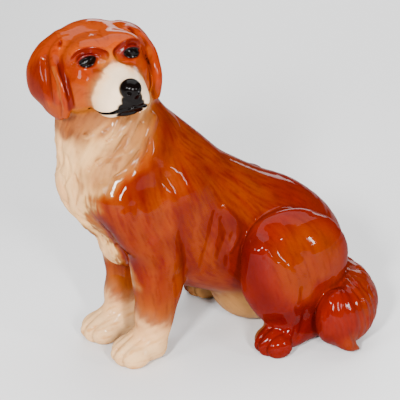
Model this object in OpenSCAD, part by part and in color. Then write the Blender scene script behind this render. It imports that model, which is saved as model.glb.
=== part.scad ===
// Sitting long-haired dog, a glazed slip-cast figurine.
// Nine castings are luted together with slip and fired as one.
// The dog faces -Y, its left side is +X, and it sits on the plane z = 0.
// The origin is the bottom centre of the whole figure's box.

/* [Figure] */
// Height over the top of the skull
figure_h = 248; // [160:1:300]
// Thickness of the cast wall
wall = 4; // [3:0.5:5]
// Diameter of the kiln vent under the rump
vent_d = 12; // [8:1:16]
// Diameter of the air holes behind the luted limbs
air_hole_d = 5; // [3:0.5:7]

/* [Body] */
// Width of the neck under the jaw
neck_w = 68; // [62:1:74]
// Width across the chest
chest_w = 88; // [80:1:96]
// Width across the loins and rump
loin_w = 82; // [74:1:90]

/* [Head] */
// Turn of the head to the dog's left
head_turn = 90; // [60:1:100]
// Width of the skull
skull_w = 70; // [64:1:76]
// Width of the muzzle
muzzle_w = 36; // [32:1:40]
// Outward turn of the back edge of each ear
ear_flare = 22; // [10:1:30]
// Thickness of each ear
ear_t = 11; // [9:0.5:13]

/* [Legs] */
// Distance between the middles of the front paws
front_stance = 47; // [42:1:52]
// Distance between the middles of the hind paws
hind_stance = 104; // [98:1:110]
// Width of a front paw
paw_w = 30; // [26:1:32]
// Width of a hind paw
hind_paw_w = 29; // [26:1:32]
// Width of each thigh, from its inner to its outer side
thigh_w = 38; // [34:1:42]

/* [Hidden] */

nominal_h = 248;                    // height that the stations below are drawn at
k = figure_h / nominal_h;           // scale of the whole figure
w = wall / k;                       // wall in the stations' own scale
box_mid = [10.5, 11, 0];             // bottom centre of the figure as drawn
neck_z = 204;                       // level of the joint between neck and head
head_pivot = [0, -65, 0];           // the head turns about this upright line
sides = 24;                         // facets round a casting
inner_sides = 16;                   // facets round its hollow
big = 400;                          // larger than the figure
X = [1, 0, 0];
Y = [0, 1, 0];
Z = [0, 0, 1];

// A station is [x, y, z, half-width, half-depth] of one cross-section.
// A path is a list of stations, and its sections stand square to it.
function spline(a, b, c, d, t) =
    0.5 * (2 * b + (c - a) * t + (2 * a - 5 * b + 4 * c - d) * t * t
    + (3 * b - a - 3 * c + d) * t * t * t);
function station(path, s) =
    let (last = len(path) - 1, i = min(floor(s), last - 1))
    spline(path[max(i - 1, 0)], path[i], path[i + 1], path[min(i + 2, last)], s - i);
function place(st) = [st[0], st[1], st[2]];
function unit(v) = v / norm(v);
function heading(path, s) =
    let (last = len(path) - 1, step = 0.05)
    unit(place(station(path, min(s + step, last))) - place(station(path, max(s - step, 0))));
function inset(path, by) = [for (st = path) st - [0, 0, 0, by, by]];
function mirrored(path) = [for (st = path) [-st[0], st[1], st[2], st[3], st[4]]];

// One ring of points; `side` is the way that the half-width is measured
function ring(st, along, side, shrink, shift, n) =
    let (u = unit(side - along * (side * along)), v = cross(along, u))
    [for (i = [0 : n - 1])
        let (a = 360 * i / n)
        place(st) + along * shift + shrink * (u * st[3] * cos(a) + v * st[4] * sin(a))];

// Rings of a whole path, with a rounded end of the given length at each end
function rings(path, side, n, cuts, dome_start, dome_end) =
    let (last = len(path) - 1, rounding = [78, 52, 26])
    concat(
        [for (a = rounding) ring(path[0], heading(path, 0), side, cos(a), -dome_start * sin(a), n)],
        [for (j = [0 : last * cuts])
            ring(station(path, j / cuts), heading(path, j / cuts), side, 1, 0, n)],
        [for (j = [2 : -1 : 0])
            ring(path[last], heading(path, last), side, cos(rounding[j]), dome_end * sin(rounding[j]), n)]);

// Closed smooth solid along a path
module skin(path, side, dome_start = 8, dome_end = 8, n = sides, cuts = 3) {
    all_rings = rings(path, side, n, cuts, dome_start, dome_end);
    count = len(all_rings);
    last = len(path) - 1;
    tip_start = place(path[0]) - heading(path, 0) * dome_start;
    tip_end = place(path[last]) + heading(path, last) * dome_end;
    points = concat([for (r = all_rings) each r], [tip_start, tip_end]);
    walls = [for (j = [0 : count - 2], i = [0 : n - 1])
        let (a = j * n + i, b = j * n + (i + 1) % n)
        each [[a, a + n, b], [b, a + n, b + n]]];
    start_fan = [for (i = [0 : n - 1]) [count * n, i, (i + 1) % n]];
    end_base = (count - 1) * n;
    end_fan = [for (i = [0 : n - 1]) [count * n + 1, end_base + (i + 1) % n, end_base + i]];
    polyhedron(points, concat(walls, start_fan, end_fan), convexity = 6);
}

// All space above a level
module above(level) {
    translate([-big / 2, -big / 2, level])
        cube([big, big, big]);
}

// Joins a casting's outlines to one clean skin
module cast() {
    resize([0, 0, 0])
        children();
}

// Rubs a casting's foot flat at z = 0
module footed() {
    difference() {
        children();
        above(-big);
    }
}

// Puts a casting in its final place and size
module fired(tint) {
    color(tint)
    scale(k)
    translate(-box_mid)
        children();
}

// ---- Stations ----

torso_path = [
    [0, -62, 224, 27, 30],
    [0, -59, 206, neck_w / 2 - 1, 36],
    [0, -57, 186, neck_w / 2, 38],
    [0, -51, 162, 0.43 * chest_w, 45],
    [0, -41, 139, 0.47 * chest_w, 51],
    [0, -25, 117, chest_w / 2, 55],
    [0, -4, 99, chest_w / 2, 55],
    [0, 20, 85, loin_w / 2, 53],
    [0, 46, 73, loin_w / 2, 52],
    [0, 70, 60, loin_w / 2, 53],
    [0, 91, 44, loin_w / 2 - 3, 44],
    [0, 100, 27, loin_w / 2 - 8, 33],
    [0, 102, 14, loin_w / 2 - 11, 29],
    [0, 100, 2, loin_w / 2 - 14, 25],
];

// Muscle of the upper arm, from the point of the shoulder to the elbow
function arm_path() = [
    [chest_w / 2 - 21, -54, 141, 16, 20],
    [chest_w / 2 - 17, -49, 122, 18, 24],
    [chest_w / 2 - 18, -40, 102, 18, 25],
    [chest_w / 2 - 20, -32, 86, 15, 20],
];

function foreleg_path() = let (x = front_stance / 2) [
    [x + 3, -33, 98, 14, 19],
    [x + 2, -32, 78, 16, 21],
    [x + 1, -31, 60, 15, 19],
    [x, -30, 42, 13, 16],
    [x, -30, 28, 12, 14],
    [x, -32, 15, 12, 14],
];

function front_paw_path() = let (x = front_stance / 2) [
    [x, -27, 9, paw_w / 2 - 4, 10],
    [x, -38, 11, paw_w / 2 - 1, 13],
    [x, -49, 10, paw_w / 2, 13],
    [x, -58, 8, paw_w / 2 - 2, 11],
];

function thigh_path() = let (x = hind_stance / 2) [
    [x - 4, 60, 92, thigh_w / 2 - 6, 30],
    [x, 61, 81, thigh_w / 2 - 1, 39],
    [x + 1, 65, 64, thigh_w / 2, 44],
    [x, 69, 46, thigh_w / 2 - 1, 39],
    [x - 3, 73, 29, thigh_w / 2 - 4, 30],
    [x - 4, 75, 14, thigh_w / 2 - 6, 24],
];

function hind_paw_path() = let (x = hind_stance / 2) [
    [x - 4, 88, 10, hind_paw_w / 2 - 3, 10],
    [x - 2, 70, 13, hind_paw_w / 2 - 2, 13],
    [x + 1, 55, 12, hind_paw_w / 2 - 1, 13],
    [x + 4, 44, 9, hind_paw_w / 2, 11],
    [x + 5, 37, 8, hind_paw_w / 2 - 2, 9],
];

// Head stations run forward from the back of the skull: here +X is forward, +Y is its left
skull_path = [
    [-28, 0, 222, 22, 17],
    [-15, 0, 223, 0.44 * skull_w, 23],
    [1, 0, 224, skull_w / 2, 24],
    [16, 0, 224, skull_w / 2 - 1, 24],
    [28, 0, 223, skull_w / 2 - 5, 21.5],
    [38, 0, 220.5, muzzle_w / 2 + 4, 17.5],
    [50, 0, 219.5, muzzle_w / 2 + 1, 15.5],
    [60, 0, 220, muzzle_w / 2 - 1, 14],
    [66, 0, 221, muzzle_w / 2 - 5, 12],
];

ear_path = [
    [6, 27, 239, 15, ear_t / 2 + 1],
    [6, 34, 235, 19, ear_t / 2 + 1],
    [8, 39, 225, 22, ear_t / 2],
    [10, 40, 212, 20, ear_t / 2],
    [13, 36, 201, 14, ear_t / 2],
    [15, 32, 193, 7, ear_t / 2 - 1],
];

tail_path = [
    [0, 110, 34, 20, 14],
    [28, 117, 31, 28, 19],
    [52, 114, 27, 30, 22],
    [70, 102, 25, 27, 21],
    [77, 88, 22, 23, 17],
];

tail_tip_path = [
    [78, 86, 14, 12, 11],
    [81, 96, 8, 8, 7],
    [80, 105, 4, 3.5, 3],
];

// ---- Solid outlines ----

module torso_outline() {
    skin(torso_path, X, 12, 7);
    skin(arm_path(), X);
    skin(mirrored(arm_path()), X);
}

module torso_hollow() {
    intersection() {
        skin(inset(torso_path, w), X, 12, 4, inner_sides, 2);
        above(w);
    }
}

module turn_head() {
    translate(head_pivot)
    rotate(head_turn - 90)
        children();
}

module skull_outline() {
    turn_head() {
        skin(skull_path, Y, 10, 5);
        translate([67, 0, 227])
        scale([6, 8.5, 7])
            sphere(r = 1, $fn = 20);
    }
}

module skull_hollow() {
    turn_head()
        skin(inset(skull_path, w), Y, 7, 2, inner_sides, 2);
}

module foreleg_outline() {
    skin(foreleg_path(), X);
    skin(front_paw_path(), X, 8, 8);
}

module hind_leg_outline() {
    skin(thigh_path(), X, 11, 6);
    skin(hind_paw_path(), X, 8, 6);
}

// Air hole through the torso's wall, opening a limb's hollow to the body's
module air_hole(at, turn) {
    translate(at)
    rotate(turn)
        cylinder(h = 30, d = air_hole_d / k, center = true, $fn = 16);
}

// ---- Castings ----

module body() {
    fired("#c8641e")
    difference() {
        footed()
        cast()
        difference() {
            torso_outline();
            above(neck_z);
            torso_hollow();
            for (side = [-1, 1]) {
                air_hole([side * (front_stance / 2 + 1), -32, 72], [0, 0, 0]);
                air_hole([side * (hind_stance / 2 - 14), 66, 56], [0, 90, 0]);
            }
            air_hole([20, 116, 38], [-60, 0, 0]);
        }
        translate([0, 100, -1])
            cylinder(h = 2 * w + 1, d = vent_d / k, $fn = 48);
    }
}

module head() {
    fired("#dc7838")
    cast()
    difference() {
        intersection() {
            union() {
                skull_outline();
                skin(torso_path, X, 12, 7);
            }
            above(neck_z);
        }
        skull_hollow();
        torso_hollow();
    }
}

module ear(side) {
    fired("#cd5220")
    cast()
    difference() {
        turn_head()
        mirror([0, side < 0 ? 1 : 0, 0])
            skin(ear_path, [cos(ear_flare), -sin(ear_flare), 0], 5, 5);
        skull_outline();
        torso_outline();
    }
}

module foreleg(side) {
    fired("#e6b478")
    footed()
    cast()
    mirror([side < 0 ? 1 : 0, 0, 0])
    difference() {
        foreleg_outline();
        skin(inset(foreleg_path(), w), X, 2, 2, inner_sides, 2);
        torso_outline();
    }
}

module hind_leg(side) {
    fired("#d2561a")
    footed()
    cast()
    mirror([side < 0 ? 1 : 0, 0, 0])
    difference() {
        hind_leg_outline();
        intersection() {
            skin(inset(thigh_path(), w), X, 7, 2, inner_sides, 2);
            above(w);
        }
        torso_outline();
    }
}

module tail() {
    fired("#cf5a1c")
    footed()
    cast()
    difference() {
        union() {
            skin(tail_path, Z, 4, 12);
            skin(tail_tip_path, Z, 4, 3);
        }
        intersection() {
            skin(inset(tail_path, w), Z, 1, 8, inner_sides, 2);
            above(w);
        }
        torso_outline();
        hind_leg_outline();
    }
}

body();
head();
ear(1);  // ear_left
ear(-1);  // ear_right
foreleg(1);  // foreleg_left
foreleg(-1);  // foreleg_right
hind_leg(1);  // hind_leg_left
hind_leg(-1);  // hind_leg_right
tail();
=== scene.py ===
import math

import bpy
import numpy as np
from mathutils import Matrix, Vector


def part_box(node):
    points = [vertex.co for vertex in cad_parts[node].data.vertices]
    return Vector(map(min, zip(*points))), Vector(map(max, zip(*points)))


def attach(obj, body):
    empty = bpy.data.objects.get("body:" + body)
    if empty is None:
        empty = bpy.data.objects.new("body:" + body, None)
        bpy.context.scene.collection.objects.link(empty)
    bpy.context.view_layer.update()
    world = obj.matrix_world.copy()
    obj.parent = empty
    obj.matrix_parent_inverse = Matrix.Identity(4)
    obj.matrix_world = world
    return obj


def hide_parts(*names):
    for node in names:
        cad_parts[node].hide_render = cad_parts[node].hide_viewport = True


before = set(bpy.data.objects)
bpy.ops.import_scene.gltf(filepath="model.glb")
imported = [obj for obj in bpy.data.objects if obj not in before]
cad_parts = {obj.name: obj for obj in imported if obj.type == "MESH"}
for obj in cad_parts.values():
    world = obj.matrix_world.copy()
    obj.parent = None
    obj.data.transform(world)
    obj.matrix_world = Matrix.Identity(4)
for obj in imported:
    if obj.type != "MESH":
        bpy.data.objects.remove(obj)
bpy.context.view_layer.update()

import openvdb
from mathutils import Vector

# Placement. The sculpt is drawn in millimetres: the dog faces -Y, its left
# side is +X, its plane of symmetry is x = 0 and it sits on z = 0.
NECK_JOINT = 204.0  # drawn level of the joint between neck and head
CHEST_FRONT = -95.1  # drawn y of the body's foremost point
HEAD_PIVOT = (0.0, -65.0, 212.0)  # drawn point that the head turns about
HEAD_TURN = (3.0, 0.0, -2.5)  # degrees that the head turns about X, Y and Z
EAR_FLARE = 4.0  # millimetres that the left ear hangs further out than the right
FAR_FOOT_TUCKS = {"foreleg_right": 5, "hind_leg_right": 10}  # millimetres inward, as in the photo
VENT_START, VENT_END, VENT_RADIUS = (0, 100, -12), (0, 100, 12), 6  # under the rump

head_low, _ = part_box("head")
body_low, body_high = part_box("body")
UNIT = head_low[2] / NECK_JOINT
ORIGIN = np.array([(body_low[0] + body_high[0]) / 2, body_low[1] - CHEST_FRONT * UNIT, 0.0])

COARSE = 1.0  # spacing of the body's grid
FINE = 0.55  # spacing of the head's grid
BODY_SPAN = (-76, -120, -3), (98, 143, 214)  # corners of the body's grid
HEAD_SPAN = (-46, -122, 182), (86, -8, 254)  # corners of the head's grid
FAR = 60.0  # stands for "nothing near"
REACH = 9.0  # how far round a shape its distance is kept
BASE_BLEND = 0.8  # rounding where the dog meets the table
JOINT_LEAN = 6  # the head's faces with a smaller `lean` are cut at the neck joint

X, Y, Z = (1, 0, 0), (0, 1, 0), (0, 0, 1)
# in the order in which they are joined, the head's castings last
NAMES = ["body", "foreleg_left", "foreleg_right", "hind_leg_left", "hind_leg_right", "tail",
         "head", "ear_left", "ear_right"]
HEAD_NUMBER, TAIL_NUMBER, EAR_NUMBER = [NAMES.index(name) for name in ("head", "tail", "ear_left")]


# ---- Fields: signed distances on a grid, negative inside the clay
class Grid:
    """Distances on a regular grid, and which casting each place belongs to.

    `figure` adds `lean`, above 0 where the head is nearer than the body.
    """

    def __init__(self, axes):
        self.axes = axes
        self.value = np.full([len(a) for a in axes], FAR, np.float32)
        self.owner = np.zeros(self.value.shape, np.int8)

    @classmethod
    def spanning(cls, low, high, step):
        return cls([np.arange(a, b + step, step, dtype=np.float32) for a, b in zip(low, high)])

    def window(self, low, high):
        cut = tuple(slice(*np.searchsorted(a, (lo, hi))) for a, lo, hi in zip(self.axes, low, high))
        x, y, z = (a[c] for a, c in zip(self.axes, cut))
        return cut, (x[:, None, None], y[None, :, None], z[None, None, :])

    def blank(self, cut):
        return Grid([a[c] for a, c in zip(self.axes, cut)])


class View:
    """A field seen from another frame: local = turned back (place - origin) + anchor."""

    def __init__(self, base, matrix=np.eye(3), origin=(0, 0, 0), anchor=(0, 0, 0)):
        self.base = base
        self.matrix = np.array(matrix, float)
        self.origin = np.array(origin, float)
        self.anchor = np.array(anchor, float)

    @property
    def value(self):
        return self.base.value

    def window(self, low, high):
        middle = (np.array(low) + high) / 2 - self.anchor
        half = np.abs(self.matrix) @ ((np.array(high) - low) / 2)
        middle = self.matrix @ middle + self.origin
        cut, place = self.base.window(middle - half, middle + half)
        local = []
        for i in range(3):
            terms = [self.matrix[j, i] * (place[j] - self.origin[j])
                     for j in range(3) if self.matrix[j, i]]
            local.append(sum(terms) + self.anchor[i])
        return cut, tuple(local)

    def blank(self, cut):
        return View(self.base.blank(cut), self.matrix, self.origin, self.anchor)


def turned(degrees):
    """Rotation matrix from turns about X, then Y, then Z."""
    matrix = np.eye(3)
    for axis, angle in enumerate(degrees):
        c, s = math.cos(math.radians(angle)), math.sin(math.radians(angle))
        i, j = [(1, 2), (2, 0), (0, 1)][axis]
        turn = np.eye(3)
        turn[i, i] = turn[j, j] = c
        turn[i, j], turn[j, i] = -s, s
        matrix = turn @ matrix
    return matrix


HEAD_AXES = turned(HEAD_TURN)
HEAD_ANCHOR = np.array([0, 0, HEAD_PIVOT[2]])


def head_frame(field):
    """The head's own frame: +X is forward and +Y is the dog's left."""
    return View(field, HEAD_AXES, HEAD_PIVOT, HEAD_ANCHOR)


def mirrored(field, axis=0):
    """The field with its two sides changed over."""
    matrix = np.eye(3)
    matrix[axis, axis] = -1
    return View(field, matrix)


def both_sides(field, axis=0):
    return field, mirrored(field, axis)


def folded(points, axis=0):
    """A copy of the points with one half laid over the other."""
    copy = points.copy()
    copy[:, axis] = np.abs(copy[:, axis])
    return copy


def smooth_min(a, b, blend):
    """The smaller of two distances, rounded where they are alike."""
    if blend is None:
        return np.minimum(a, b)
    near = np.maximum(blend - np.abs(a - b), 0)
    return np.minimum(a, b) - near * near / (4 * blend)


def smooth_max(a, b, blend):
    return -smooth_min(-a, -b, blend)


# ---- Shapes: (low corner, high corner, distance function)
def ball(centre, radii, turn=(0, 0, 0)):
    """Ellipsoid with its axes turned about X, Y and Z."""
    centre, radii, axes = np.array(centre, float), np.array(radii, float), turned(turn)
    half = np.sqrt(((axes * radii) ** 2).sum(axis=1))

    def distance(x, y, z):
        moved = (x - centre[0], y - centre[1], z - centre[2])
        near, far = 1e-6, 1e-8
        for i in range(3):
            along = sum(axes[j, i] * moved[j] for j in range(3) if axes[j, i]) / radii[i]
            near = near + along * along
            far = far + (along / radii[i]) ** 2
        near = np.sqrt(near)
        return near * (near - 1) / np.sqrt(far)

    return centre - half, centre + half, distance


def capsule(start, end, start_radius, end_radius):
    start, end = np.array(start, float), np.array(end, float)
    run = end - start
    fat = max(start_radius, end_radius)

    def distance(x, y, z):
        x, y, z = x - start[0], y - start[1], z - start[2]
        t = np.clip((x * run[0] + y * run[1] + z * run[2]) / (run @ run), 0, 1)
        gap = (x - t * run[0]) ** 2 + (y - t * run[1]) ** 2 + (z - t * run[2]) ** 2
        return np.sqrt(gap) - (start_radius + (end_radius - start_radius) * t)

    return np.minimum(start, end) - fat, np.maximum(start, end) + fat, distance


def spline(rows, per):
    """Catmull-Rom points through `rows`, `per` to each stretch."""
    rows = np.array(rows, float)
    padded = np.vstack([rows[0], rows, rows[-1]])
    out = []
    for i in range(len(rows) - 1):
        a, b, c, d = padded[i:i + 4]
        for t in np.arange(per) / per:
            out.append(0.5 * (2 * b + (c - a) * t + (2 * a - 5 * b + 4 * c - d) * t ** 2
                              + (3 * b - a - 3 * c + d) * t ** 3))
    return np.array(out + [rows[-1]])


def slab(here, there, side):
    """One stretch of a loft: two elliptical sections and what lies between them."""
    start, end = here[:3], there[:3]
    run = end - start
    length = math.sqrt(run @ run)
    along = run / length
    across = side - along * (side @ along)
    across = across / math.sqrt(across @ across)
    deep = np.cross(along, across)
    fat = max(here[3:].max(), there[3:].max())

    def distance(x, y, z):
        x, y, z = x - start[0], y - start[1], z - start[2]
        forward = x * along[0] + y * along[1] + z * along[2]
        t = np.clip(forward / length, 0, 1)
        over = forward - t * length
        u = x * across[0] + y * across[1] + z * across[2]
        v = x * deep[0] + y * deep[1] + z * deep[2]
        wide = here[3] + (there[3] - here[3]) * t
        tall = here[4] + (there[4] - here[4]) * t
        small = np.minimum(wide, tall)
        ratio = np.sqrt((u / wide) ** 2 + (v / tall) ** 2 + (over / small) ** 2) + 1e-6
        return np.sqrt(u * u + v * v + over * over) * (1 - 1 / ratio)

    return np.minimum(start, end) - fat, np.maximum(start, end) + fat, distance


def loft(rows, side, per=3):
    """Smooth solid through stations (x, y, z, half-width, half-depth)."""
    dense = spline(rows, per)
    return [slab(a, b, np.array(side, float)) for a, b in zip(dense, dense[1:])]


def tube(rows, per=3):
    """Round solid through (x, y, z, radius)."""
    dense = spline(rows, per)
    return [capsule(a[:3], b[:3], a[3], b[3]) for a, b in zip(dense, dense[1:])]


def add(field, parts, blend=None, cut=False):
    """Joins the parts to the field, or cuts them from it, with a blend radius."""
    parts = [parts] if isinstance(parts, tuple) else parts
    low = np.min([p[0] for p in parts], axis=0) - REACH
    high = np.max([p[1] for p in parts], axis=0) + REACH
    index, _ = field.window(low, high)
    whole = field.blank(index)
    for part_low, part_high, distance in parts:
        inner, local = whole.window(part_low - REACH, part_high + REACH)
        values = whole.value[inner]
        if values.size:
            whole.value[inner] = np.minimum(values, distance(*local))
    if cut:
        field.value[index] = smooth_max(field.value[index], -whole.value, blend)
    else:
        field.value[index] = smooth_min(field.value[index], whole.value, blend)


def soften(field, passes):
    """Blurs the distances, which rounds the ribs that a loft leaves."""
    value = field.value
    close = value < REACH
    spans = []
    for axis in range(3):
        used = np.flatnonzero(close.any(axis=tuple(a for a in range(3) if a != axis)))
        if not len(used):
            return
        spans.append(slice(used[0], used[-1] + 1))
    core = value[tuple(spans)].copy()
    for _ in range(passes):
        for axis in range(3):
            line = np.moveaxis(core, axis, 0)
            line[1:-1] = (2 * line[1:-1] + line[2:] + line[:-2]) / 4
    value[tuple(spans)] = core


def stroke(field, rows, depth, span, along=0):
    """Presses a soft groove (or, with a negative depth, raises a ridge).

    `rows` are (u, v, width) seen along the axis `along`, and `span` bounds that axis.
    """
    u_axis, v_axis = [a for a in range(3) if a != along]
    rows = np.array(rows, float)
    margin = 2.2 * rows[:, 2].max()
    low, high = np.empty(3), np.empty(3)
    low[along], high[along] = span
    low[[u_axis, v_axis]] = rows[:, :2].min(axis=0) - margin
    high[[u_axis, v_axis]] = rows[:, :2].max(axis=0) + margin
    index, place = field.window(low, high)
    u, v = place[u_axis], place[v_axis]
    dense = spline(rows, 3)
    press = 0
    for a, b in zip(dense, dense[1:]):
        run = b[:2] - a[:2]
        t = np.clip(((u - a[0]) * run[0] + (v - a[1]) * run[1]) / (run @ run), 0, 1)
        gap = (u - a[0] - t * run[0]) ** 2 + (v - a[1] - t * run[1]) ** 2
        press = np.maximum(press, np.exp(-gap / (a[2] + (b[2] - a[2]) * t) ** 2))
    inside = (place[along] > span[0]) & (place[along] < span[1])
    field.value[index] += (depth * press * inside).astype(np.float32)


# ---- The castings
def torso(field):
    """Neck, chest, belly and rump."""
    add(field, loft([
        (0, -58, 206, 30.5, 34), (0, -56, 186, 31, 36), (0, -50, 162, 35.5, 42.5),
        (0, -39, 140.5, 39, 49), (0, -21.5, 120.5, 41, 51.5), (0, -2, 101, 42, 52),
        (0, 21, 87, 41, 50.5), (0, 46, 74, 41, 49), (0, 69, 61, 42, 50),
        (0, 89, 45, 40, 46.5), (0, 99, 28, 35, 36), (0, 102, 14, 30, 29), (0, 100, 2, 27, 25),
    ], X, 4))
    soften(field, 3)
    add(field, ball((0, -70, 131), (21, 19, 25), (15, 0, 0)), 12)  # breast
    add(field, ball((0, -84, 138), (8, 8, 11), (20, 0, 0)), 9)  # tuft on the breastbone
    add(field, ball((0, -48, 84), (17, 14, 17), (25, 0, 0)), 8)  # hair between the forelegs
    add(field, ball((0, 60, 24), (27, 30, 23)), 12)  # groin
    for half in both_sides(field):
        shoulder(half)
        neck_hair(half)
        flank(half)


def shoulder(half):
    """Shoulder and upper arm, as far as they belong to the body."""
    add(half, tube([(14, -27, 171, 9), (25, -42, 157, 12.5), (29, -63, 134, 14)]), 14)  # blade
    add(half, tube([(29, -64, 131, 13), (32, -50, 110, 15.5), (31, -34, 90, 15)]), 8)  # upper arm
    add(half, ball((30, -28, 84), (13, 12, 15)), 6)  # elbow
    add(half, ball((22, -26, 122), (23, 28, 34), (-30, 0, 0)), 14)  # ribs
    add(half, ball((31, -50, 124), (14, 14, 14)), 12)  # shoulder point
    behind = [(-30, 146, 3), (-24, 134, 4), (-20, 118, 4), (-21, 102, 4), (-17, 88, 4), (-14, 74, 3)]
    stroke(half, behind, 0.9, (18, 60))
    stroke(half, [(-58, 133, 3), (-53, 120, 4), (-47, 108, 3)], 0.9, (24, 60))
    stroke(half, [(-38, 160, 4), (-30, 148, 5), (-22, 140, 4)], 0.9, (18, 60))
    stroke(half, [(-66, 128, 3), (-63, 108, 4), (-60, 90, 4), (-55, 72, 3)], -0.8, (24, 60))


def neck_hair(half):
    """Folds of the ruff, which sweep forward and down from behind the ears."""
    add(half, tube([(25, -36, 199, 2), (29, -52, 188, 4.5), (25, -68, 179, 5), (14, -80, 171, 3)]), 6)
    add(half, tube([(28, -34, 187, 2), (32, -50, 172, 5), (29, -66, 162, 5), (19, -78, 154, 3)]), 7)
    add(half, tube([(12, -86, 190, 2), (17, -82, 182, 2.6), (15, -84, 173, 2)]), 2.5)
    for y, z, slant, depth in (
        (-72, 188, 9, 1.65), (-62, 186, 8, 1.95), (-52, 178, 7, 1.5), (-66, 170, 9, 1.8),
        (-58, 160, 9, 1.95), (-74, 166, 6, 1.35), (-46, 166, 6, 1.2),
    ):
        stroke(half, [(y + slant, z + 9, 1.2), (y + 2, z, 2.2), (y - slant, z - 8, 1)], depth, (4, 45))
    for x, top, low in (
        (3, 172, 150), (9, 164, 142), (6, 146, 122), (14, 150, 128), (3, 126, 104), (11, 118, 98),
    ):
        stroke(half, [(x, top, 1), (x + 1.5, (top + low) / 2, 2.2), (x - 1, low, 1)],
               1.4, (-110, -50), along=1)
    for y, low in ((-61, 72), (-56, 67), (-51, 66)):
        stroke(half, [(y - 2, low + 26, 1), (y, low + 12, 1.8), (y + 2, low, 1)], 1.0, (3, 26))


def flank(half):
    """The fold of skin between the ribs and the thigh, and the hair on it."""
    folds = [
        ([(7, 112, 2), (3, 96, 3), (-1, 78, 3), (0, 64, 2)], 0.9),
        ([(16, 114, 2), (23, 104, 3), (25, 92, 3), (19, 80, 2)], -1.2),
        ([(12, 106, 2), (15, 92, 4), (11, 78, 3)], 1.0),
    ]
    hair = [([(y + 4, 92, 1.5), (y, 80, 2.2), (y + 1, 68, 1.5)], 0.4) for y in (1, 6, 11, 17)]
    for rows, depth in folds + hair:
        stroke(half, rows, depth, (20, 60))


def paw(field, x, y, spread):
    """Four toes at the front of a foot; the middle pair reach further forward."""
    for place, back in ((-1.5, 4.0), (-0.5, 0.0), (0.5, 0.0), (1.5, 4.0)):
        toe = ball((x + spread * place, y + back, 7.4), (spread * 0.62, 9.5, 7.4),
                   (0, 0, -5 * place))
        add(field, toe, 3.5)
    for place in (-1, 0, 1):
        stroke(field, [(x + spread * place, y + 9, 0.8), (x + spread * place, y - 1, 1.3),
                       (x + spread * place, y - 12, 1.3)], 1.0, (3, 22), along=2)


def foreleg(field, tuck=0.0):
    """The left foreleg, from the chest down; `tuck` carries the foot inward and forward."""
    add(field, loft([
        (27, -34, 98, 14, 18), (26, -32, 78, 14.5, 19.5), (25, -31, 60, 14, 18),
        (24 - 0.3 * tuck, -30.5 - 0.3 * tuck, 44, 12.5, 15.5),
        (23.5 - 0.7 * tuck, -31.5 - 0.7 * tuck, 29, 11.5, 13), (23.5 - tuck, -35.5 - tuck, 16, 12, 12),
    ], X, 4))
    soften(field, 2)
    x, y = 23.5 - tuck, -tuck
    add(field, ball((x + 0.5, y - 37, 34), (9, 9, 12)), 8)  # wrist
    add(field, ball((24, -19, 62), (7, 7, 16)), 9)  # sinew at the back
    add(field, loft([
        (x, y - 33, 8, 11, 8), (x, y - 40, 11, 13, 12), (x, y - 48, 10, 14, 11), (x, y - 54, 8, 13, 9),
    ], X), 6)
    paw(field, x, y - 56, 7.2)
    stroke(field, [(-38, 62, 2), (-36, 46, 3), (-37, 30, 2)], 0.5, (24, 50))


def hind_leg(field, tuck=0.0):
    """The left thigh and foot; `tuck` carries the foot inward and forward."""
    add(field, loft([
        (46, 60, 92, 13, 28), (51, 61, 81, 18, 38), (53, 65, 64, 19.5, 43.5), (52, 69, 46, 18.5, 39),
        (49, 73, 29, 15, 30), (48, 75, 14, 13, 24),
    ], X, 4))
    soften(field, 2)
    add(field, tube([(57, 34, 84, 9), (60, 39, 66, 10), (59, 48, 48, 10), (55, 56, 34, 9)]), 9)
    add(field, tube([(50, 58, 36, 11), (52, 58, 22, 10), (53, 62, 12, 11)]), 8)  # hock
    add(field, loft([
        (48, 86, 8, 10, 8), (50 - 0.4 * tuck, 70, 11, 12, 11), (54 - 0.8 * tuck, 56, 11, 12, 11),
        (57 - tuck, 46 - 0.4 * tuck, 9.5, 13, 10.5),
    ], X), 6)
    paw(field, 57.5 - tuck, 42 - 0.4 * tuck, 6.8)
    for rows, depth in (
        ([(33, 94, 2), (38, 82, 3), (48, 73, 3.5), (55, 62, 3.5), (57, 46, 2)], -1.1),
        ([(44, 92, 3), (56, 84, 4), (66, 70, 5), (64, 54, 4)], 0.9),
        ([(54, 40, 2), (58, 26, 2.4), (54, 14, 2)], -0.8),
        ([(66, 34, 3), (68, 22, 3), (62, 12, 2)], 0.9),
    ):
        stroke(field, rows, depth, (50, 100))
    stroke(field, [(82, 92, 3), (92, 76, 5), (90, 58, 4)], 0.6, (40, 100))


def tail(field):
    """The tail leaves the rump and curls forward round the left haunch."""
    add(field, loft([
        (0, 106, 30, 18, 14), (26, 114, 27, 24, 18), (48, 114.5, 25, 25, 20.5),
        (64, 105.5, 24.5, 24.5, 20), (74, 92, 24, 22, 15),
    ], Z, 4))
    soften(field, 3)
    add(field, ball((75, 86, 28), (12, 14, 21), (-8, 0, 10)), 4)  # curled end
    add(field, tube([(80, 87, 20, 9), (83.5, 91, 11.5, 7), (85, 96, 6, 4), (85, 101, 3, 1.6)]), 3)
    for y in (100, 106, 112, 118, 124):
        rows = [(y - 7, 104 - y * 0.5, 1.2), (y, 34, 2.2), (y + 3, 12, 1.4)]
        stroke(field, rows, 1.1, (45, 100))
    for y, top in ((78, 50), (85, 54), (91, 50)):
        stroke(field, [(y, top, 1.2), (y - 2, 32, 2.2), (y + 5, 8, 1.2)], 0.8, (72, 100))
    for x in (12, 26, 40, 54):
        stroke(field, [(x - 6, 58, 1.2), (x, 40, 2.2), (x + 4, 14, 1.4)], 1.0, (112, 150), along=1)


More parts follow.
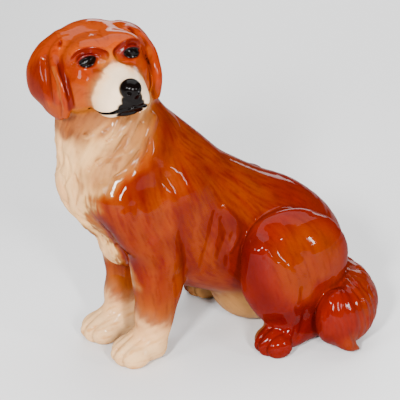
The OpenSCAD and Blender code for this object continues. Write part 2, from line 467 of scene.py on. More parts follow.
# grooves of the left half of the face, in the head's frame, which are cut and then painted
BROW_HOLLOW = [(36.5, 5, 240.6, 3.4), (38, 9, 243, 4.6), (38.2, 14, 244.2, 5.4),
               (35, 19.5, 242.6, 5), (29.5, 25, 237.5, 2.6)]
MOUTH = [(34, 16.5, 205.4, 0.6), (48, 16.3, 208, 0.8), (58, 14.3, 210.4, 0.9),
         (64, 10.3, 212.3, 1), (67.5, 6, 213.8, 1), (70, 0, 215.6, 0.9)]
EAR_GROOVE = [(9, 24.5, 244.6, 0.8), (13.4, 28, 241.2, 1.3), (23.5, 30.2, 231, 1.6),
              (29, 29.8, 224.4, 1.7), (33, 29.2, 214, 1.8), (32.5, 28.6, 206, 1.8)]


def head(field):
    """Skull, muzzle and nose in the head's frame."""
    add(field, ball((-2, 0, 221), (32, 33.5, 30)))  # cranium
    add(field, ball((17, 0, 230.5), (19.5, 28, 17.5)), 8)  # forehead
    add(field, loft([
        (18, 0, 221, 27, 20), (33, 0, 220.5, 22, 17.5), (46, 0, 220, 17.5, 14.5),
        (57, 0, 220, 14, 12),
    ], Y, 4), 9)
    for half in both_sides(field, 1):
        face(half)
    add(field, ball((67.5, 0, 227.5), (7.5, 7, 6.6), (0, -8, 0)), 1.2)  # nose
    add(field, ball((65.5, 0, 219), (5, 7, 6)), 5)  # below the nose
    for half in both_sides(field, 1):
        add(half, ball((74.5, 4.2, 226.6), (3.2, 1.7, 1.5), (0, 0, 35)), 0.8, cut=True)
        add(half, tube(MOUTH, 6), 1, cut=True)
    add(field, tube([(72.5, 0, 221, 0.5), (71, 0, 216, 0.6)]), 0.8, cut=True)  # philtrum


def face(half):
    """Half of the face: jaw, brow, eye and lids."""
    for centre, radii, blend in (
        ((14, 21, 212), (22, 12, 13), 10),  # cheek
        ((47, 9.3, 213.5), (17.5, 9, 9.5), 5),  # upper lip
        ((47, 2, 209.6), (18, 8.5, 4.8), 1.5),  # lower jaw
        ((25, 11, 240.5), (12.5, 14, 9), 6),  # forehead lobe
    ):
        add(half, ball(centre, radii), blend)
    add(half, ball((38.5, 10, 238), (4.5, 6.5, 5.5)), 4, cut=True)  # corner of the eye
    add(half, tube(BROW_HOLLOW, 6), 0.7, cut=True)
    add(half, ball((28.3, 15.2, 238), (7.1, 6.6, 5.3)), 0.8)  # eyeball
    upper_lid = tube([(32.6, 8.8, 238.2, 0.6), (33.6, 11.8, 241.4, 1), (34, 16, 242.2, 1.1),
                      (32.8, 20, 240.4, 1), (31, 22.4, 237.4, 0.6)])
    lower_lid = tube([(32.6, 8.8, 237.8, 0.6), (33.6, 12, 234.7, 0.9), (33.8, 16, 233.9, 0.9),
                      (32.9, 20, 234.8, 0.9), (31, 22.4, 237, 0.6)])
    add(half, upper_lid, 0.8)
    add(half, lower_lid, 0.8)
    add(half, ball((31, 19, 225), (6, 6, 6)), 7)  # cheekbone


def ear(field):
    """The left ear in the head's frame, hanging from high on the skull."""
    flare = math.radians(16)
    side = (math.cos(flare), -math.sin(flare), 0)
    add(field, loft([
        (-1, 21, 240, 11, 4), (-1, 28.5, 236, 13.5, 5), (3, 34.5, 226, 19, 4.8),
        (8.5, 36, 214, 20, 4.6), (13, 33, 204, 15.5, 4.2), (17, 30.5, 198, 8, 3.6),
    ], side, 9))
    rolled_edge = tube([
        (6, 22, 241.5, 2.4), (6, 27.5, 238.8, 3), (10.5, 30.3, 235, 3.3), (19, 31.5, 230, 3.3),
        (25, 31, 223.5, 3.5), (28.3, 30.8, 215.5, 3.5), (28.3, 30.2, 207.5, 3.2),
        (25, 30.5, 200.5, 2.8),
    ], 6)
    add(field, rolled_edge, 1.3)
    furrow = tube([(5, 35.5, 234, 3), (12, 39.5, 226, 5), (17, 40.7, 216, 5), (18, 39, 207, 3)])
    add(field, furrow, 2.5, cut=True)


def ear_blend(_, z):
    """The ear grows out of the top of the skull and hangs free below."""
    return 2.5 + 9 * np.clip((z - 236) / 9, 0, 1)


def thigh_blend(y, z):
    """The thigh stands clear of the flank in front and melts into the rump behind."""
    return 2.5 + 12 * np.clip((y + 0.5 * z - 90) / 40, 0, 1)


SCULPTORS = {"body": torso, "foreleg": foreleg, "hind_leg": hind_leg, "tail": tail,
             "head": head, "ear": ear}
BLENDS = {"body": None, "foreleg": 7, "tail": 2.5, "head": 7}
VARYING = {"hind_leg": thigh_blend, "ear": ear_blend}


def kind_of(name):
    return name.replace("_left", "").replace("_right", "")


def sculpted(field, name):
    """One casting alone on a new grid like the field's."""
    alone = field.blank(tuple(slice(None) for _ in range(3)))
    view = alone if NAMES.index(name) < HEAD_NUMBER else head_frame(alone)
    if name.endswith("_right"):
        view = mirrored(view, 1 if name == "ear_right" else 0)
    if name == "ear_left":
        view = View(view, origin=(0, EAR_FLARE, 0))
    sculpt = SCULPTORS[kind_of(name)]
    if name in FAR_FOOT_TUCKS:
        sculpt(view, FAR_FOOT_TUCKS[name])
    else:
        sculpt(view)
    return alone


def figure(field):
    """Adds the nine castings to the field, each blended into those before it."""
    y, z = field.axes[1][None, :, None], field.axes[2][None, None, :]
    for number, name in enumerate(NAMES):
        kind = kind_of(name)
        alone = sculpted(field, name)
        field.owner[alone.value < field.value] = number
        if kind == "head":
            field.lean = field.value - alone.value
        blend = VARYING[kind](y, z) if kind in VARYING else BLENDS[kind]
        field.value[...] = smooth_min(field.value, alone.value, blend)
    for half in both_sides(head_frame(field), 1):
        add(half, tube(EAR_GROOVE, 6), 1.2, cut=True)
    add(field, capsule(VENT_START, VENT_END, VENT_RADIUS, VENT_RADIUS), 1, cut=True)
    field.value[...] = smooth_max(field.value, -z, BASE_BLEND)


# ---- From field to surface
RELAXING = (0.5, -0.5, 0.5, -0.5)  # smoothing steps and the swelling that undoes their shrinking


def surface(grid, step):
    """Quads of the grid's zero surface, relaxed so that the grid doesn't show."""
    band = 3 * step
    volume = openvdb.FloatGrid(band)
    volume.copyFromArray(np.clip(grid.value, -band, band).astype(np.float32))
    points, _, quads = volume.convertToPolygons(isovalue=0.0, adaptivity=0.0)
    points = points.astype(float) * step + [a[0] for a in grid.axes]
    quads = quads[:, ::-1].astype(np.int64)
    ends = np.concatenate([quads.ravel(), np.roll(quads, -1, axis=1).ravel()])
    others = np.concatenate([np.roll(quads, -1, axis=1).ravel(), quads.ravel()])
    count = np.maximum(np.bincount(ends, minlength=len(points)), 1)[:, None]
    for amount in RELAXING:
        total = [np.bincount(ends, points[others, i], len(points)) for i in range(3)]
        points = points + amount * (np.stack(total, 1) / count - points)
    return points, quads


def sample(grid, step, points):
    """The grid's distances at loose points."""
    place = (points - [a[0] for a in grid.axes]) / step
    size = np.array(grid.value.shape) - 2
    base = np.clip(np.floor(place).astype(int), 0, size)
    part = np.clip(place - base, 0, 1)
    total = 0
    for corner in np.ndindex(2, 2, 2):
        weight = np.prod(np.where(corner, part, 1 - part), axis=1)
        total = total + weight * grid.value[tuple((base + corner).T)]
    return total


def mesh_normals(points, quads):
    """Unit normals, weighted by the area of the quads round each point."""
    across = points[quads[:, 2]] - points[quads[:, 0]]
    other = points[quads[:, 3]] - points[quads[:, 1]]
    facing = np.cross(across, other)
    out = np.zeros_like(points)
    for i in range(3):
        out[:, i] = np.bincount(quads.ravel(), np.repeat(facing[:, i], 4), len(points))
    return out / np.maximum(np.linalg.norm(out, axis=1, keepdims=True), 1e-9)


# ---- Hair: noise combed along the lie of the coat
# (place, direction) of the hair on the dog's left side
COAT_LIE = np.array([
    [(8, -30, 200), (0, 5, -8)], [(10, 20, 150), (0, 8, -5)], [(10, 75, 112), (0, 8, -6)],
    [(12, 108, 70), (1, 2, -9)], [(4, -92, 150), (0, 0, -9)], [(8, -80, 115), (0, 4, -9)],
    [(26, -70, 176), (-5, -4, -8)], [(33, -48, 186), (-1, -4, -8)], [(34, -50, 150), (-1, 0, -9)],
    [(36, -50, 110), (0, 4, -9)], [(42, 0, 110), (1, 4, -8)], [(44, 25, 85), (0, 5, -7)],
    [(20, 20, 36), (0, 8, -3)], [(24, -32, 60), (0, 1, -9)], [(24, -52, 12), (0, -9, -1)],
    [(62, 36, 66), (1, 3, -9)], [(70, 66, 80), (1, 3, -9)], [(66, 94, 50), (0, 2, -9)],
    [(56, 52, 14), (1, -9, -2)], [(20, 118, 40), (7, 1, -6)], [(52, 124, 36), (5, -1, -8)],
    [(82, 112, 28), (0, 3, -9)], [(84, 84, 32), (0, 1, -9)],
], float)

# the same for the head and ears, in the head's frame with +Y outward
HEAD_LIE = np.array([
    [(0, 8, 247), (-9, 3, 0)], [(26, 8, 243), (-8, 3, 3)], [(20, 26, 216), (-7, 2, -6)],
    [(50, 12, 216), (-9, 3, -3)], [(44, 4, 236), (-9, 1, 3)], [(-26, 10, 225), (-2, 0, -9)],
    [(8, 42, 218), (1, 0, -9)], [(18, 36, 210), (1, -1, -9)],
], float)

COAT_SPREAD, HEAD_SPREAD = 16, 11  # how far an anchor's direction carries
FINE_HAIR, BROAD_HAIR = (1.5, 9), (5, 26)  # width and length of a strand


def combing(points, normals, anchors, side, spread):
    """Unit directions along the surface, blended from the nearest anchors.

    The anchors are for one half: `side` is the axis across the plane of symmetry.
    """
    place = folded(points, side)
    lie = np.zeros_like(points)
    for where, heading in anchors:
        gap = ((place - where) ** 2).sum(axis=1)
        lie += np.exp(-gap / (2 * spread ** 2))[:, None] * heading + 1e-9 * heading
    lie[:, side] *= np.where(points[:, side] < 0, -1, 1)
    lie -= normals * (lie * normals).sum(axis=1, keepdims=True)
    return lie / np.maximum(np.linalg.norm(lie, axis=1, keepdims=True), 1e-9)


LATTICE_SIZE = 64
LATTICE = np.random.default_rng(7).random((LATTICE_SIZE,) * 3)


def grain(points, size):
    """Smooth random values from 0 to 1 with features of about `size`."""
    place = points / size
    base = np.floor(place).astype(int)
    part = place - base
    part = part * part * (3 - 2 * part)
    total = 0
    for corner in np.ndindex(2, 2, 2):
        weight = np.prod(np.where(corner, part, 1 - part), axis=1)
        total = total + weight * LATTICE[tuple(((base + corner) % LATTICE_SIZE).T)]
    return total


def strands(points, lie, size, length, taps=9):
    """Noise drawn out along the lie of the hair, from -1 to 1."""
    total = sum(grain(points + lie * t, size) for t in np.linspace(-length / 2, length / 2, taps))
    total = total / taps - 0.5
    return np.clip(total / (2.2 * total.std()), -1, 1)


# ---- Paint: airbrushed colours, each layer over the ones before it
def ink(red, green, blue):
    """Linear colour of an sRGB value."""
    return (np.array([red, green, blue]) / 255) ** 2.2


CREAM = ink(255, 232, 182)
IVORY = ink(255, 240, 208)
TAN = ink(250, 190, 108)
PEACH = ink(246, 146, 48)
AMBER = ink(196, 88, 0)
BRONZE = ink(158, 48, 0)
RUST = ink(92, 10, 0)
BRICK = ink(162, 34, 0)
SORREL = ink(224, 92, 8)
SIENNA = ink(178, 54, 0)
OXBLOOD = ink(74, 5, 0)
UMBER = ink(176, 112, 52)
BLACK = ink(14, 10, 9)
BISQUE = ink(226, 208, 184)


def ramp(value, start, end):
    """0 at the start and below, 1 at the end and above, smooth between."""
    t = np.clip((value - start) / (end - start), 0, 1)
    return t * t * (3 - 2 * t)


class Brush:
    """Colours of the vertices, built up layer by layer."""

    def __init__(self, points, ground):
        self.points = points
        self.colour = np.tile(ground, (len(points), 1))

    def near(self, parts, fade, grow=0.0):
        """1 inside the parts, grown by `grow`, falling to 0 at `fade` outside them."""
        parts = [parts] if isinstance(parts, tuple) else parts
        place = [self.points[:, i] for i in range(3)]
        gap = np.min([distance(*place) for _, _, distance in parts], axis=0)
        return ramp(grow - gap, -fade, 0)

    def lay(self, colour, mask):
        mask = np.clip(mask, 0, 1)[:, None]
        self.colour = self.colour * (1 - mask) + colour * mask

    def spray(self, colour, strength, parts, fade, grow=0.0):
        """Paints in and round the parts."""
        self.lay(colour, strength * self.near(parts, fade, grow))

    def pale(self):
        """1 where the paint is cream, 0 where it is orange or darker."""
        return ramp(self.colour[:, 2], 0.1, 0.4)


def paint_coat(points, normals, pooled_glaze_and_shade, fine, broad):
    """The body, legs and tail. `fine` and `broad` are two sizes of hair."""
    brush = Brush(folded(points), BRONZE)
    right = ramp(-points[:, 0], -6, 16)
    x, y, z = brush.points.T
    wander = 5 * broad + 3 * fine
    brush.lay(AMBER, 0.6 + 0.4 * broad - 0.2 * fine)
    brush.lay(RUST, 0.6 * ramp(normals[:, 2], 0.3, 1.0) * ramp(y, -45, 30) * ramp(z, 60, 90))
    for strength, fade, rows in (
        (0.8, 13, [(20, -30, 172, 6), (30, -46, 150, 7), (34, -56, 134, 5)]),  # blade
        (0.9, 13, [(27, -70, 134, 3), (28, -66, 112, 4), (27, -60, 90, 4), (26, -52, 66, 4)]),
        (0.6, 12, [(42, 6, 104, 5), (44, 22, 92, 8), (42, 22, 70, 6)]),  # flank
        (0.5, 8, [(42, -22, 120, 3), (42, -19, 96, 3), (34, -12, 70, 3)]),  # behind the foreleg
    ):
        brush.spray(RUST, strength, tube(rows), fade)
    paint_rear(brush, fine, broad)
    paint_chest(brush, right, wander, broad)
    paint_belly_and_legs(brush, wander, fine)
    pale = brush.pale()
    # painted shade in folds and hollows, together with the darker glaze that pools there
    brush.lay(OXBLOOD, (1 - pale) * (0.8 * pooled_glaze_and_shade + 0.07 * np.maximum(fine, 0)))
    brush.lay(UMBER, pale * (0.7 * pooled_glaze_and_shade + 0.2 * np.maximum(fine - 0.1, 0)))
    return brush.colour


def paint_rear(brush, fine, broad):
    """Rump, thighs, hind feet and tail."""
    x, y, z = brush.points.T
    thigh = brush.near(ball((54, 66, 56), (30, 50, 50)), 10)
    brush.lay(BRICK, 0.75 * ramp(y, 40, 80) * ramp(z, 50, 90))
    brush.lay(BRICK, 0.85 * thigh)
    brush.spray(AMBER, 0.75 + 0.2 * broad, ball((66, 68, 72), (20, 18, 16)), 22)
    brush.spray(RUST, 0.8 * thigh, tube([(58, 28, 86, 3), (62, 34, 58, 4), (60, 50, 34, 4)]), 12)
    brush.spray(BRICK, 1, ball((56, 56, 12), (18, 34, 13)), 8)
    brush.spray(RUST, 0.6, ball((60, 66, 28), (14, 16, 12)), 10)
    brush.lay(BRICK, 0.9 * ramp(y, 96, 104) * ramp(70 - z, 0, 14))
    brush.lay(BRICK, 0.9 * ramp(x, 66, 72) * ramp(y, 66, 74) * ramp(62 - z, 0, 8))
    brush.lay(AMBER, (0.45 + 0.5 * fine) * ramp(y, 94, 110) * ramp(64 - z, 0, 20))
    brush.spray(AMBER, 0.8, tube([(84, 92, 12, 3), (86, 102, 3, 3)]), 8)


# drawn (z, y) of the edge of the cream bib and ruff, seen from the side
BIB_EDGE = [(62, -46), (88, -58), (105, -70), (120, -79), (136, -79), (148, -66), (158, -50),
            (180, -37), (200, -30)]
NAPE_SHIFT = 16  # millimetres that the ruff's edge lies further forward on the right


def paint_chest(brush, right, wander, broad):
    """Cream bib and ruff, with more nape showing on the right."""
    y, z = brush.points[:, 1], brush.points[:, 2]
    level, edge = np.array(BIB_EDGE, float).T
    inward = np.interp(z, level, edge) - y + 0.6 * wander
    inward = inward - NAPE_SHIFT * ramp(z, 165, 188) * right
    inward = inward / (4 + 8 * ramp(z, 140, 160))
    chest = ramp(z, 56, 64)
    for colour, strength, start, end in (
        (AMBER, 0.8, -1.2, -0.2), (PEACH, 0.9, -0.6, 0.4), (TAN, 1, -0.2, 0.9),
        (CREAM, 0.85 + 0.3 * broad, 0.4, 1.6),
    ):
        brush.lay(colour, strength * chest * ramp(inward, start, end))
    throat = tube([(34, -60, 204, 5), (28, -78, 195, 5), (17, -88, 188, 4), (4, -94, 186, 3)])
    ruff = tube([(33, -52, 184, 3), (33, -62, 168, 3), (28, -78, 150, 2)])
    brush.spray(PEACH, 0.85, throat, 19, 0.3 * wander)
    brush.spray(AMBER, 0.45, tube([(24, -82, 194, 2), (15, -90, 188, 2)]), 12, 0.3 * wander)
    brush.spray(AMBER, 0.5, tube([(34, -56, 205, 3), (34, -70, 196, 3)]), 8, wander)
    brush.spray(PEACH, 0.6, ruff, 18, 0.5 * wander)
    brush.lay(PEACH, 0.5 * chest * ramp(inward, 0.6, 2) * ramp(broad, 0.0, 0.8))
    brush.spray(TAN, 0.45 * chest * ramp(inward, 0, 1), ball((30, -66, 160), (14, 22, 34)), 18)


def paint_belly_and_legs(brush, wander, fine):
    """Tan belly and inner thighs, cream pasterns and forepaws."""
    x, y, z = brush.points.T
    under = ramp(-z, -44, -30) * ramp(y, -24, -8) * ramp(-x, -44, -34) * ramp(-y, -100, -84)
    brush.lay(TAN, (0.7 + 0.3 * fine) * under)
    brush.lay(CREAM, 0.4 * under * ramp(-z, -30, -14))
    leg = ramp(-y, 8, 16) * ramp(-z, -84, -74)
    brush.lay(AMBER, 0.5 * leg * ramp(-z, -74, -56))
    low = -z + 0.7 * wander - 0.35 * (y + 33)
    brush.lay(PEACH, 0.75 * leg * ramp(low, -60, -28))
    brush.lay(CREAM, leg * ramp(low, -44, -8))
    brush.spray(PEACH, 0.35 * leg, ball((26, -46, 22), (7, 5, 6)), 6)
    inner = ramp(-z + wander, -40, -22) * ramp(y, 20, 34) * ramp(-y, -58, -44) * ramp(-x, -52, -46)
    brush.lay(TAN, 0.9 * inner)


def paint_head(points, pooled_glaze_and_shade, fine, broad, ear):
    """The head and ears, in the head's frame; `ear` is 1 on the ears."""
    brush = Brush(folded(points, 1), SIENNA)
    x, _, z = brush.points.T
    wander = 2.5 * broad + 1.5 * fine
    brush.lay(AMBER, 0.4 + 0.3 * broad)
    brush.lay(SORREL, np.maximum(ramp(z, 232, 242) * ramp(-x, -44, -34), ramp(-x, -8, 6)))
    paint_muzzle(brush, x, z, wander)
    brush.lay(SORREL, 0.45 * ear)
    brush.lay(SIENNA, 0.5 * ear)
    ear_roll_highlight = tube([(19, 34.6, 231, 1), (26, 34.4, 222, 1), (28, 34, 208, 1)])
    brush.spray(RUST, 0.6 * ear, ball((4, 44, 218), (6, 8, 12)), 9)
    # painted shade in the groove between the ear and the cheek
    brush.spray(OXBLOOD, 0.85, tube(EAR_GROOVE), 1.6)
    # painted shade in the furrow behind the ear's rolled edge
    brush.spray(RUST, 0.6 * ear, tube([(5, 36, 234, 1), (13, 37, 226, 1), (17, 38, 212, 1)]), 5)
    # painted highlight along the crest of the ear's rolled edge
    brush.spray(PEACH, 0.4 * ear, ear_roll_highlight, 2.5)
    # painted shade in folds and hollows, together with the darker glaze that pools there
    brush.lay(OXBLOOD, (1 - brush.pale()) * (0.7 * pooled_glaze_and_shade + 0.1 * np.maximum(fine, 0)))
    brush.lay(UMBER, 0.5 * brush.pale() * pooled_glaze_and_shade)
    paint_features(brush, z)
    return brush.colour


def paint_muzzle(brush, x, z, wander):
    """Ivory bridge and lips, tan and peach round them, the throat."""
    soft = 0.6 * wander
    bridge = tube([(50, 0, 232, 1), (57, 0, 224, 8), (64, 0, 222, 12)])
    brush.spray(PEACH, 0.5, ball((40, 14, 207), (18, 12, 7)), 10, wander)
    brush.spray(PEACH, 0.8, tube([(40, 0, 238, 3), (48, 0, 234, 9)]), 7, wander)
    brush.spray(TAN, 0.75, ball((54, 6, 217), (9, 11, 11)), 15, soft)
    brush.spray(IVORY, 1, bridge, 13, soft)
    brush.spray(IVORY, 0.9, ball((59, 8, 214), (7, 10, 7)), 13, soft)
    brush.lay(PEACH, 0.7 * ramp(-z, -209, -204) * ramp(-x, -62, -54))
    brush.spray(AMBER, 0.6, tube([(36, 20, 222, 3), (30, 22, 208, 5)]), 11, wander)
    brush.spray(PEACH, 0.8, ball((10, 0, 202), (34, 30, 5)), 6, wander)


def paint_features(brush, z):
    """Eyes, nose and lips."""
    # dark red glaze pooled in the brow hollow, with painted shade growing darker up under the brow's
    # edge
    brow_pooling_and_shade = brush.near(tube(BROW_HOLLOW) + [ball((36, 12.5, 239.5), (5, 8, 5))], 1)
    brush.lay(RUST, 0.7 * brow_pooling_and_shade * ramp(z, 235, 240))
    brush.lay(OXBLOOD, 0.6 * brow_pooling_and_shade * ramp(z, 238, 243))
    brush.spray(OXBLOOD, 0.7, ball((33, 15.4, 238.2), (5, 6.8, 5)), 1.2)
    brush.spray(BLACK, 1, ball((33.5, 15.4, 238), (5, 5.6, 3.8), (-10, 0, 0)), 0.6)
    nose = [ball((68.5, 0, 227.5), (8, 7.1, 6.8), (0, -8, 0)),
            ball((66, 0, 220), (11, 7, 7)), ball((66, 0, 215.5), (10, 8.8, 5.5))]
    lips = tube([(34, 16.5, 205.4, 0.9), (48, 16.3, 208, 1.1), (58, 14.3, 210.4, 1.1),
                 (64, 10.3, 212.3, 1.4), (67.5, 6, 213.8, 2)], 6)
    chin = ball((63.5, 0, 209.4), (8, 9, 4.4))
    brush.spray(BLACK, 1, nose, 1.2)
    brush.spray(BLACK, 1, lips + [chin], 0.9)


# ---- Vertices: place, normal, colour and bareness in one table
PLACE, NORMAL, COLOUR, BARE = slice(0, 3), slice(3, 6), slice(6, 9), 9


def dressed(grid, step):
    """Meshes a finished field, combs and paints it: (vertex table, quads, owner, lean)."""
    points, quads = surface(grid, step)
    normals = mesh_normals(points, quads)
    cell = np.round((points - [a[0] for a in grid.axes]) / step).astype(int)
    cell = np.clip(cell, 0, np.array(grid.value.shape) - 1)
    owner, lean = grid.owner[tuple(cell.T)], grid.lean[tuple(cell.T)]
    ear = (owner >= EAR_NUMBER).astype(float)
    headed = np.maximum(ramp(lean, -5, 5), ear)[:, None]
    # mask of pooled glaze and painted shade in the folds
    pooled_glaze_and_shade = hollowness(grid, step, points, normals)
    inside = (points - HEAD_PIVOT) @ HEAD_AXES + HEAD_ANCHOR  # in the head's frame
    turned_in = normals @ HEAD_AXES
    lie = combing(points, normals, COAT_LIE, 0, COAT_SPREAD) * (1 - headed)
    lie += combing(inside, turned_in, HEAD_LIE, 1, HEAD_SPREAD) @ HEAD_AXES.T * headed
    fine, broad = strands(points, lie, *FINE_HAIR), strands(points, lie, *BROAD_HAIR)
    coat = paint_coat(points, normals, pooled_glaze_and_shade, fine, broad)
    face_paint = paint_head(inside, pooled_glaze_and_shade, fine, broad, ear)
    colour = coat * (1 - headed) + face_paint * headed
    depth = hair_depth(points, owner, headed[:, 0])
    points = points + normals * (depth * (0.75 * broad + 0.35 * fine))[:, None]
    points[:, 2] = np.maximum(points[:, 2], 0)
    bare = ramp(-points[:, 2], -0.9, -0.5) * ramp(-normals[:, 2], 0.3, 0.7)
    colour = colour * (1 - bare[:, None]) + BISQUE * bare[:, None]
    table = np.hstack([points, mesh_normals(points, quads), colour, bare[:, None]])
    return table, quads, owner, lean


def hollowness(grid, step, points, normals):
    """How deep each point lies in a fold: 0 on open surface, 1 in a sharp fold. It masks the darker
    glaze pooled in folds and the painted shade there.
    """
    steep = sample(grid, step, points + normals) - sample(grid, step, points - normals)
    steep = np.clip(steep / 2, 0.4, 1.5)
    tight, wide = [1 - np.clip(sample(grid, step, points + reach * normals) / (reach * steep), 0, 1)
                   for reach in (2.5, 6)]
    return np.clip(1.2 * (tight - 0.08) + 1.1 * (wide - 0.12), 0, 1)


def hair_depth(points, owner, headed):
    """Height of the modelled hair in millimetres: long on the chest, ruff and tail."""
    bib = [ball((0, -70, 165), (34, 26, 34)), ball((0, -66, 112), (18, 22, 30))]
    on_tail = owner == TAIL_NUMBER
    depth = 0.05 + 1.25 * Brush(folded(points), CREAM).near(bib, 8) + 0.4 * on_tail
    paws = ramp(-points[:, 2], -30, -18)
    depth = depth * (1 - 0.6 * paws * ~on_tail)
    return depth * (1 - headed) + 0.02 * headed


def sliced(table, quads, level):
    """Cuts the quads that cross a level: (longer table, faces above, faces below)."""
    high = table[:, 2] > level
    count = high[quads].sum(axis=1)
    above, below = quads[count == 4].tolist(), quads[count == 0].tolist()
    extra, known = [], {}

    def crossing(a, b):
        key = (min(a, b), max(a, b))
        if key not in known:
            t = (level - table[a, 2]) / (table[b, 2] - table[a, 2])
            extra.append(table[a] * (1 - t) + table[b] * t)
            known[key] = len(table) + len(extra) - 1
        return known[key]

    for quad in quads[(count > 0) & (count < 4)].tolist():
        upper, lower = [], []
        for a, b in zip(quad, quad[1:] + quad[:1]):
            (upper if high[a] else lower).append(a)
            if high[a] != high[b]:
                upper.append(crossing(a, b))
                lower.append(crossing(a, b))
        above.append(upper)
        below.append(lower)
    return np.vstack([table] + extra), above, below


def parted(table, quads, owner, lean):
    """Sorts the faces by casting: (table, {name: faces})."""
    a, b, c, d = owner[quads].T
    belongs = np.where((a == b) | (a == c), a, d)
    neck = (belongs == 0) | ((belongs == HEAD_NUMBER) & (lean[quads].max(axis=1) < JOINT_LEAN))
    faces = {name: quads[(belongs == i) & ~neck].tolist() for i, name in enumerate(NAMES)}
    table, above, below = sliced(table, quads[neck], NECK_JOINT)
    faces["head"] += above
    faces["body"] += below
    return table, faces


def capped(table, faces):
    """Closes a piece with a fan where it meets its neighbours."""
    edges = {}
    for face in faces:
        for a, b in zip(face, face[1:] + face[:1]):
            edges[a, b] = True
    onward = {}
    for a, b in edges:
        if (b, a) not in edges:
            onward.setdefault(a, []).append(b)
    extra, fans = [], []
    while onward:
        start = next(iter(onward))
        loop, here = [], start
        while here in onward:
            loop.append(here)
            following = onward[here].pop()
            if not onward[here]:
                del onward[here]
            here = following
        hub = len(table) + len(extra)
        extra.append(table[loop].mean(axis=0))
        fans += [[b, a, hub] for a, b in zip(loop, loop[1:] + loop[:1])]
    return np.vstack([table] + extra), faces + fans


def placed(name, data):
    made = bpy.data.objects.new(name, data)
    bpy.context.collection.objects.link(made)
    return made


def piece(name, table, faces, material):
    """One casting's glazed surface as a Blender object in place of its CAD node."""
    table, faces = capped(table, faces)
    used = np.unique(np.concatenate([np.array(f) for f in faces]))
    renumber = np.zeros(len(table), int)
    renumber[used] = np.arange(len(used))
    table = table[used]
    mesh = bpy.data.meshes.new("glazed_" + name)
    places = table[:, PLACE] * UNIT + ORIGIN
    mesh.from_pydata(places.tolist(), [], [[int(renumber[v]) for v in face] for face in faces])
    mesh.polygons.foreach_set("use_smooth", [True] * len(mesh.polygons))
    paint = mesh.attributes.new("paint", "FLOAT_COLOR", "POINT")
    paint.data.foreach_set("color", np.hstack([table[:, COLOUR], np.ones((len(table), 1))]).ravel())
    mesh.attributes.new("bare", "FLOAT", "POINT").data.foreach_set("value", table[:, BARE])
    mesh.normals_split_custom_set_from_vertices(table[:, NORMAL].tolist())
    mesh.materials.append(material)
    return placed("glazed_" + name, mesh)


# ---- Glaze
GLAZE_IOR = 1.5
COAT_WEIGHT, COAT_ROUGHNESS = 0.2, 0.06
PAINT_ROUGHNESS, BISCUIT_ROUGHNESS = 0.16, 0.8
FLECK_SCALE, RIPPLE_SCALE = 1400, 130  # per metre
RIPPLE_HEIGHT = 0.0004  # metres

# slot: cloud scale per metre, cloud depth, ripple of the glaze
SLOTS = {
    "body": ("body_glaze", 60, 0.22, 0.16),
    "head": ("head_glaze", 90, 0.12, 0.10),
    "ear": ("ear_glaze", 90, 0.18, 0.14),
    "foreleg": ("foreleg_glaze", 80, 0.12, 0.12),
    "hind_leg": ("hind_leg_glaze", 60, 0.22, 0.16),
    "tail": ("tail_glaze", 80, 0.2, 0.16),
}


def noise(tree, scale, detail):
    """A noise texture in the piece's own metres."""
    made = tree.nodes.new("ShaderNodeTexNoise")
    made.inputs["Scale"].default_value = scale
    made.inputs["Detail"].default_value = detail
    tree.links.new(tree.nodes["Texture Coordinate"].outputs["Object"], made.inputs["Vector"])
    return made.outputs["Fac"]


def ranged(tree, value, span, new_span):
    """Carries one span of values to another."""
    made = tree.nodes.new("ShaderNodeMapRange")
    for socket, number in zip(("From Min", "From Max", "To Min", "To Max"), span + new_span):
        made.inputs[socket].default_value = number
    tree.links.new(value, made.inputs["Value"])
    return made.outputs["Result"]


def stored(tree, name):
    """Reads what the mesh stores at its vertices."""
    made = tree.nodes.new("ShaderNodeAttribute")
    made.attribute_name = name
    return made


def glaze(name, cloud_scale, cloud_depth, ripple):
    """Clear gloss glaze over the sprayed colours, bare biscuit where it stands."""
    material = bpy.data.materials.new(name)
    material.use_nodes = True
    tree = material.node_tree
    nodes, links = tree.nodes, tree.links
    nodes.new("ShaderNodeTexCoord")
    shader = nodes["Principled BSDF"].inputs
    shader["IOR"].default_value = GLAZE_IOR
    shader["Specular IOR Level"].default_value = 0.0
    shader["Coat Roughness"].default_value = COAT_ROUGHNESS
    shader["Coat IOR"].default_value = GLAZE_IOR

    both = nodes.new("ShaderNodeMath")
    both.operation = "MULTIPLY"
    clouds = ranged(tree, noise(tree, cloud_scale, 4), (0.3, 0.7), (1 - cloud_depth, 1))
    links.new(clouds, both.inputs[0])
    links.new(ranged(tree, noise(tree, FLECK_SCALE, 2), (0.62, 0.75), (1, 0.9)), both.inputs[1])
    tone = nodes.new("ShaderNodeVectorMath")
    tone.operation = "SCALE"
    links.new(stored(tree, "paint").outputs["Color"], tone.inputs[0])
    links.new(both.outputs[0], tone.inputs["Scale"])
    links.new(tone.outputs[0], shader["Base Color"])

    bare = stored(tree, "bare").outputs["Fac"]
    rough = ranged(tree, bare, (0, 1), (PAINT_ROUGHNESS, BISCUIT_ROUGHNESS))
    links.new(rough, shader["Roughness"])
    links.new(ranged(tree, bare, (0, 1), (COAT_WEIGHT, 0)), shader["Coat Weight"])
    bump = nodes.new("ShaderNodeBump")
    bump.inputs["Strength"].default_value = ripple
    bump.inputs["Distance"].default_value = RIPPLE_HEIGHT
    links.new(noise(tree, RIPPLE_SCALE, 1), bump.inputs["Height"])
    links.new(bump.outputs[0], shader["Normal"])
    links.new(bump.outputs[0], shader["Coat Normal"])
    return material


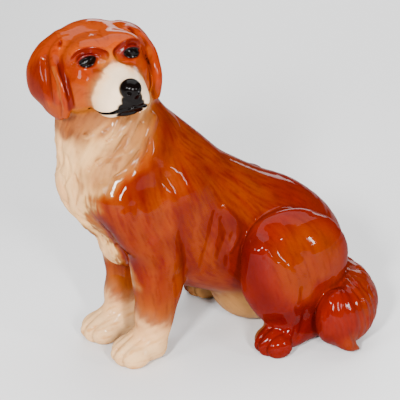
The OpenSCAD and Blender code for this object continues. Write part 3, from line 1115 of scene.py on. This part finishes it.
def figurine():
    """The nine pieces: the body's from a coarse grid, the head's from a fine one."""
    grids = [(Grid.spanning(*BODY_SPAN, COARSE), COARSE), (Grid.spanning(*HEAD_SPAN, FINE), FINE)]
    for grid, _ in grids:
        figure(grid)
    body, head_and_ears = [parted(*dressed(grid, step)) for grid, step in grids]
    materials = {kind: glaze(*settings) for kind, settings in SLOTS.items()}
    for number, name in enumerate(NAMES):
        kind = kind_of(name)
        table, faces = body if number < HEAD_NUMBER else head_and_ears
        made = piece(name, table, faces[name], materials[kind])
        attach(made, "root")
        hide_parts(name)


figurine()


# ---- Stage
VIEW_AZIMUTH, VIEW_ELEVATION = 63.1, 24.3  # degrees from -Y and above the floor
VIEW_TARGET = (13, 0, 125)  # drawn point
VIEW_DISTANCE = 1.2  # metres from the target
SENSOR = 36  # millimetres
FOCAL = 4.26  # focal length over sensor width
SHIFT = (0.0295, -0.0405)  # of the frame, as in the picture

SKY, SKY_STRENGTH = (0.80, 0.82, 0.85, 1), 0.25
FLOOR_COLOUR, FLOOR_ROUGHNESS = (0.7, 0.7, 0.7, 1), 0.6
FLOOR_REACH = 30  # metres from the middle to an edge
LIGHTS_AIM = (0, 0, 0.11)
# name: place and size in metres, watts
SOFTBOXES = {
    "overhead": ((-0.4, 0.3, 1.3), (1.6, 1.2), 22),
    "back": ((-1.2, 0.9, 0.5), (1.0, 0.4), 12),
    "key": ((1.15, -0.2, 0.55), (0.09, 0.34), 22),
    "strip": ((1.1, 0.75, 0.5), (0.06, 0.35), 9),
    "front": ((0.85, -0.85, 0.8), (0.14, 0.2), 34),
    "fill": ((0.3, -1.3, 0.9), (0.4, 0.4), 12),
}


def camera():
    data = bpy.data.cameras.new("camera")
    made = placed("camera", data)
    around, up = math.radians(VIEW_AZIMUTH), math.radians(VIEW_ELEVATION)
    back = Vector((math.sin(around) * math.cos(up), -math.cos(around) * math.cos(up), math.sin(up)))
    made.location = Vector(np.array(VIEW_TARGET, float) * UNIT + ORIGIN) + back * VIEW_DISTANCE
    made.rotation_euler = back.to_track_quat("Z", "Y").to_euler()
    data.sensor_width = SENSOR
    data.lens = SENSOR * FOCAL
    data.shift_x, data.shift_y = SHIFT
    bpy.context.scene.camera = made


def softbox(name, place, size, power):
    data = bpy.data.lights.new(name, "AREA")
    data.shape = "RECTANGLE"
    data.size, data.size_y = size
    data.energy = power
    made = placed(name, data)
    made.location = place
    made.rotation_euler = (Vector(place) - Vector(LIGHTS_AIM)).to_track_quat("Z", "Y").to_euler()


def surroundings():
    """Pale plain floor and a dim even sky."""
    world = bpy.data.worlds.new("studio")
    world.use_nodes = True
    background = world.node_tree.nodes["Background"]
    background.inputs["Color"].default_value = SKY
    background.inputs["Strength"].default_value = SKY_STRENGTH
    bpy.context.scene.world = world
    mesh = bpy.data.meshes.new("floor")
    corners = [(u * FLOOR_REACH, v * FLOOR_REACH, 0) for u, v in ((-1, -1), (1, -1), (1, 1), (-1, 1))]
    mesh.from_pydata(corners, [], [(0, 1, 2, 3)])
    floor = placed("floor", mesh)
    matt = bpy.data.materials.new("floor")
    matt.use_nodes = True
    shader = matt.node_tree.nodes["Principled BSDF"].inputs
    shader["Base Color"].default_value = FLOOR_COLOUR
    shader["Roughness"].default_value = FLOOR_ROUGHNESS
    mesh.materials.append(matt)


camera()
surroundings()
for box_name, settings in SOFTBOXES.items():
    softbox(box_name, *settings)
